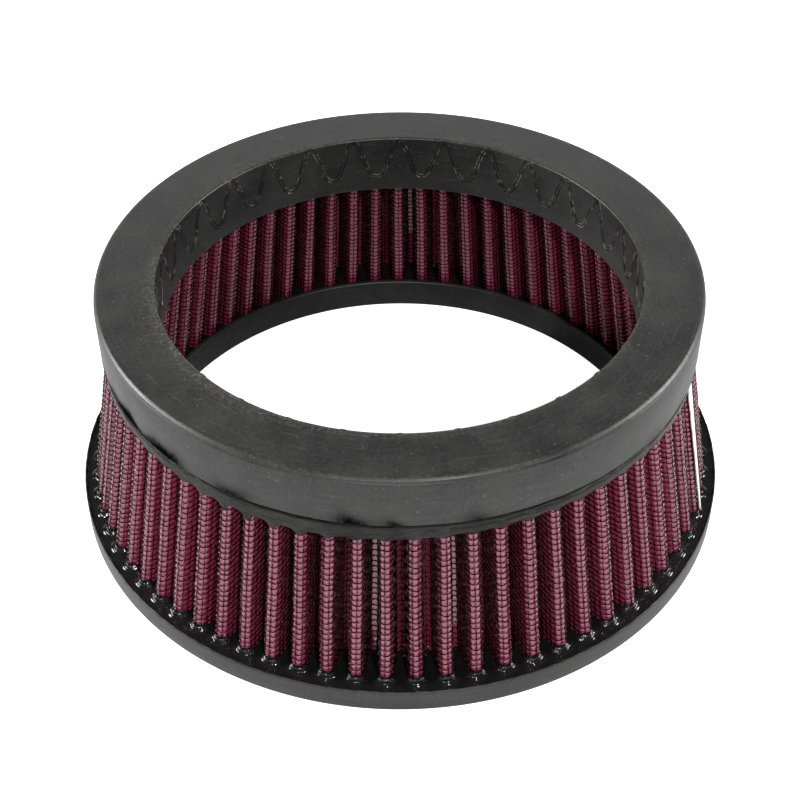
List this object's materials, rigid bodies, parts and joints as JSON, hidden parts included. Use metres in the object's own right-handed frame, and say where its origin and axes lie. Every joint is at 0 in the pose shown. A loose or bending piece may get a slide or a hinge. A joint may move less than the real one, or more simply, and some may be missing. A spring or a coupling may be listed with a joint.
{
  "type": "air filter element",
  "caption": "Conical ring-shaped pleated gauze air filter element with moulded black rubber end caps and woven wire screens, open through its middle",
  "frame": {"origin": "centre of the bottom face, the wide end of the element, which lies on the surface it stands on", "axes": "+Z along the element's axis, from the wide end cap to the narrow end cap; -Y is the front; the seam channel is near +X"},
  "size_m": [0.1654, 0.1654, 0.0635],
  "materials": {
    "rubber": "satin moulded black urethane rubber, dusty and lightly scuffed",
    "wire_mesh": "glossy black coating on woven 18-mesh wire",
    "gauze": "oiled cotton gauze, deep pink",
    "seam_metal": "bright satin channel"
  },
  "bodies": {
    "root": {"top_cap": "rubber", "bottom_cap": "rubber", "outer_screen": "wire_mesh", "gauze_ply_1": "gauze", "gauze_ply_2": "gauze", "gauze_ply_3": "gauze", "gauze_ply_4": "gauze", "inner_screen": "wire_mesh", "seam_strip": "seam_metal"}
  },
  "joints": []
}
